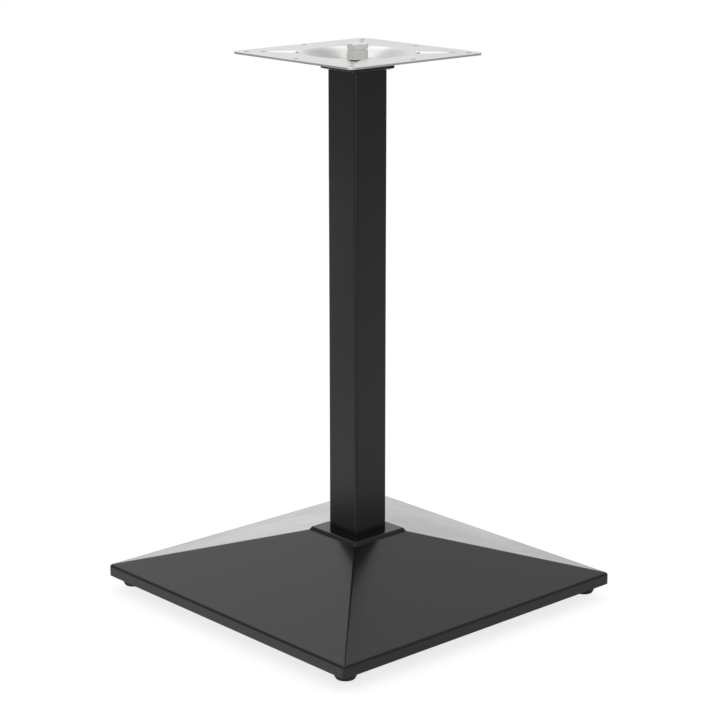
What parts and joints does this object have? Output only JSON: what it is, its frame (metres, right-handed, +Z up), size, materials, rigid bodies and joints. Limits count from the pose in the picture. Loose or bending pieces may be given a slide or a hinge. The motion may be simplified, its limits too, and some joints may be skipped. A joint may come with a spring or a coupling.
{
  "type": "pedestal table base",
  "caption": "Square pedestal table base: hollow cast iron pyramid on levelling feet, square column and pressed top plate with screw holes, all clamped by a tie rod.",
  "frame": {"origin": "on the floor, under the column's axis", "axes": "+Z up along the column; X and Y square to the base's sides, -Y is the front"},
  "size_m": [0.48, 0.48, 0.7371],
  "materials": {
    "black_casting": "satin black powder coat over cast iron",
    "black_tube": "satin black powder coat over steel",
    "pressed_steel": "bright zinc on pressed steel sheet",
    "plated_steel": "zinc plated steel",
    "black_plastic": "black moulded plastic"
  },
  "bodies": {
    "pedestal": {"base_casting": "black_casting", "column_tube": "black_tube", "column_flange": "black_tube", "top_plate": "pressed_steel", "tie_rod": "plated_steel", "top_washer": "plated_steel", "clamp_nut": "plated_steel", "lock_nut": "plated_steel", "base_washer": "plated_steel", "spring_washer": "plated_steel", "base_nut": "plated_steel"},
    "foot_front_left": {"foot_pad_front_left": "black_plastic", "foot_stud_front_left": "plated_steel"},
    "foot_front_right": {"foot_pad_front_right": "black_plastic", "foot_stud_front_right": "plated_steel"},
    "foot_back_left": {"foot_pad_back_left": "black_plastic", "foot_stud_back_left": "plated_steel"},
    "foot_back_right": {"foot_pad_back_right": "black_plastic", "foot_stud_back_right": "plated_steel"}
  },
  "joints": [
    {"name": "foot_front_left_screw", "type": "slide", "parent": "pedestal", "child": "foot_front_left", "axis": [0, 0, -1], "range_m": [0, 0.008]},
    {"name": "foot_front_right_screw", "type": "slide", "parent": "pedestal", "child": "foot_front_right", "axis": [0, 0, -1], "range_m": [0, 0.008]},
    {"name": "foot_back_left_screw", "type": "slide", "parent": "pedestal", "child": "foot_back_left", "axis": [0, 0, -1], "range_m": [0, 0.008]},
    {"name": "foot_back_right_screw", "type": "slide", "parent": "pedestal", "child": "foot_back_right", "axis": [0, 0, -1], "range_m": [0, 0.008]}
  ]
}
